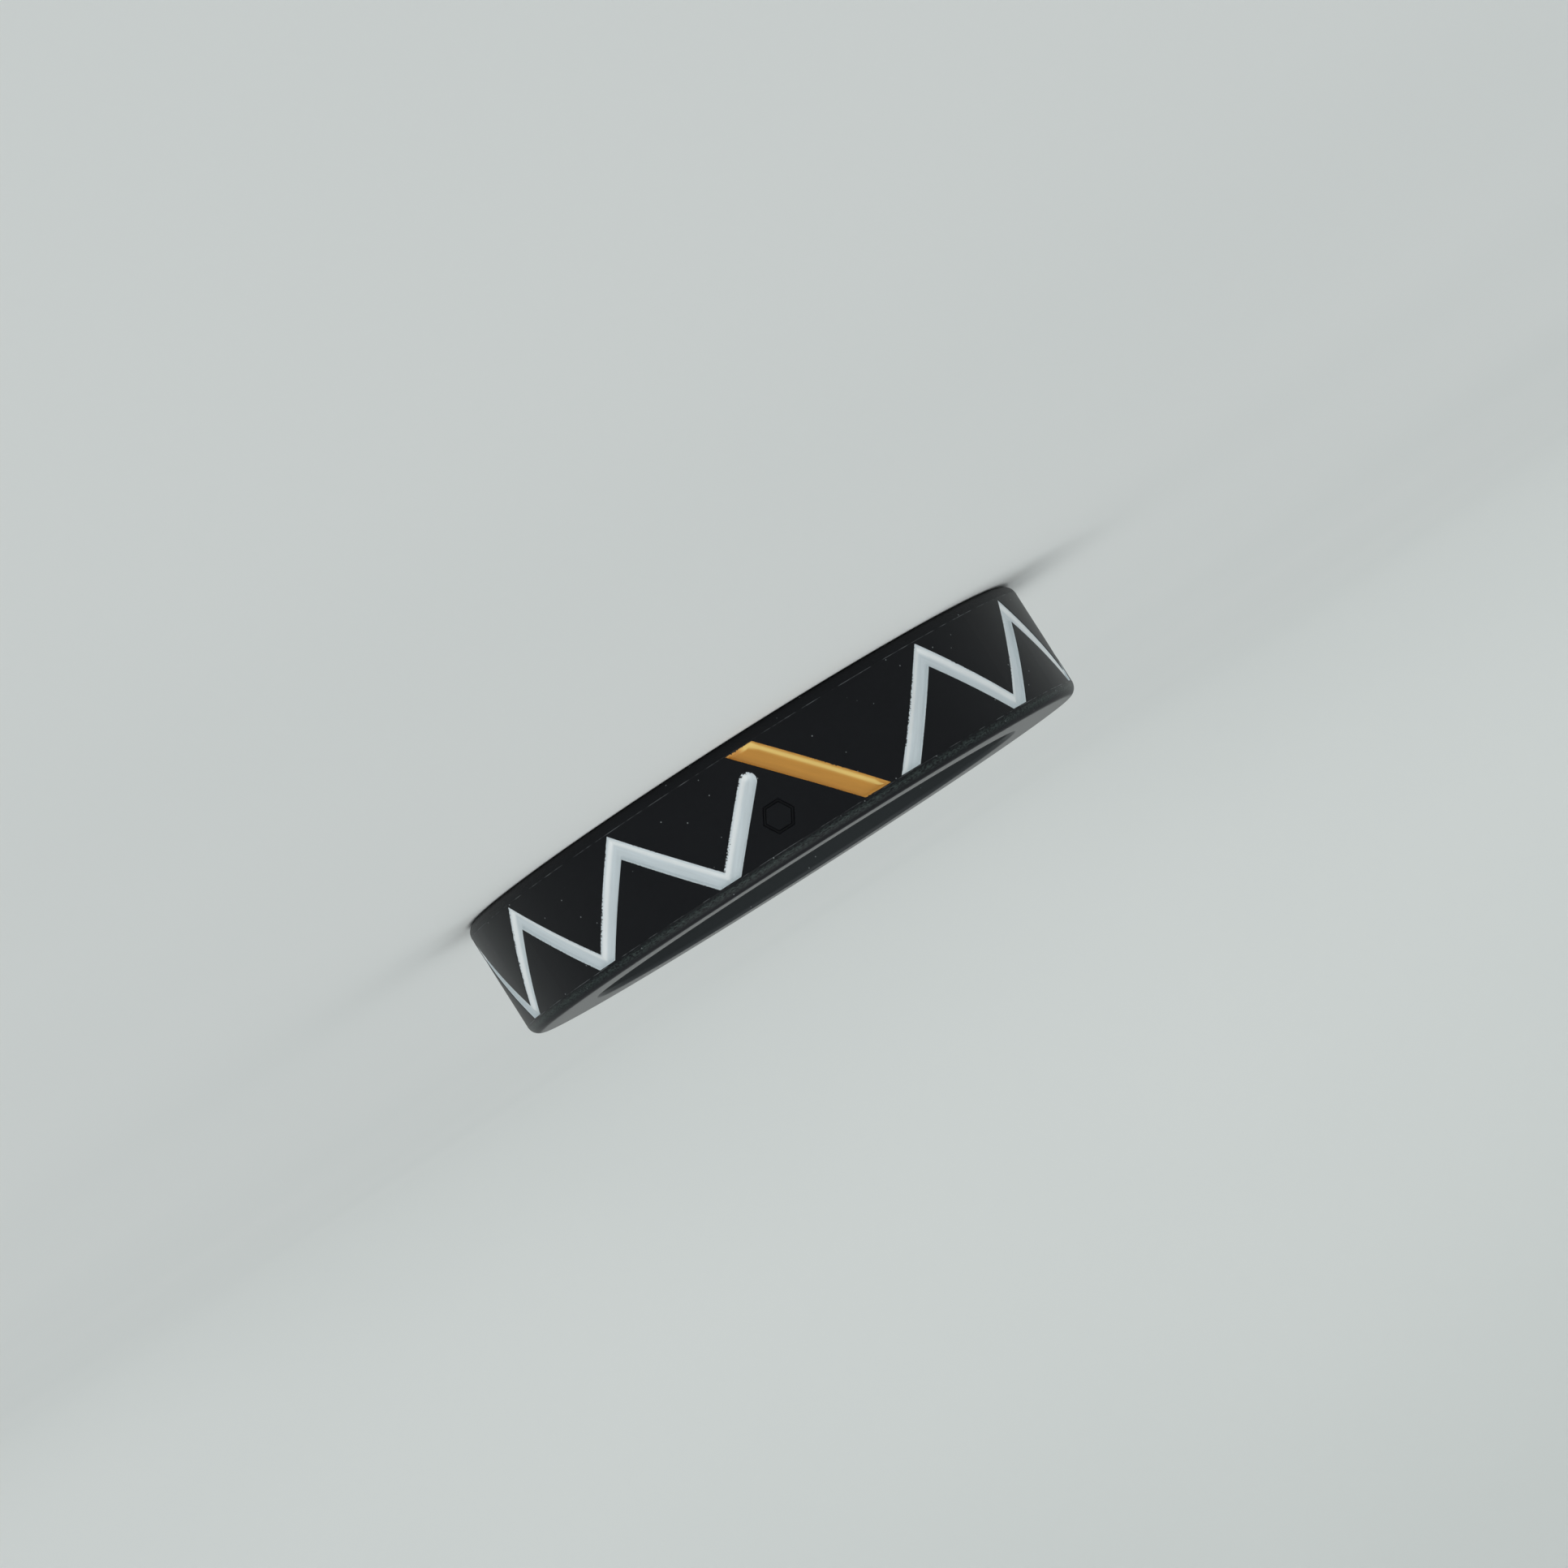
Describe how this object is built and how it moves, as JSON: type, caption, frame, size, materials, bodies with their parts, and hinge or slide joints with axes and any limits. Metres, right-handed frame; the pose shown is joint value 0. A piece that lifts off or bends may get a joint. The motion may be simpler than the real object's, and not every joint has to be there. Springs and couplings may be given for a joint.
{
  "type": "silicone wristband",
  "caption": "Round moulded rubber wristband with sunk zigzag and slanted bar channels filled with coloured ink, and rounded outer edges.",
  "frame": {"origin": "centre of the circle on which the band lies, in the plane of its lower side face", "axes": "+Z along the band's own axis, from the side face it lies on to the other one; -Y through the middle of the front amber bar; +X to the right when the front bar is seen from outside"},
  "size_m": [0.0754, 0.0754, 0.015],
  "materials": {
    "band_rubber": "satin moulded black silicone rubber",
    "white_ink": "smooth white silicone ink, slightly blue",
    "amber_ink": "smooth amber silicone ink"
  },
  "bodies": {
    "root": {"band_body": "band_rubber", "white_zigzag_1": "white_ink", "white_zigzag_2": "white_ink", "amber_bar_1": "amber_ink", "amber_bar_2": "amber_ink"}
  },
  "joints": []
}
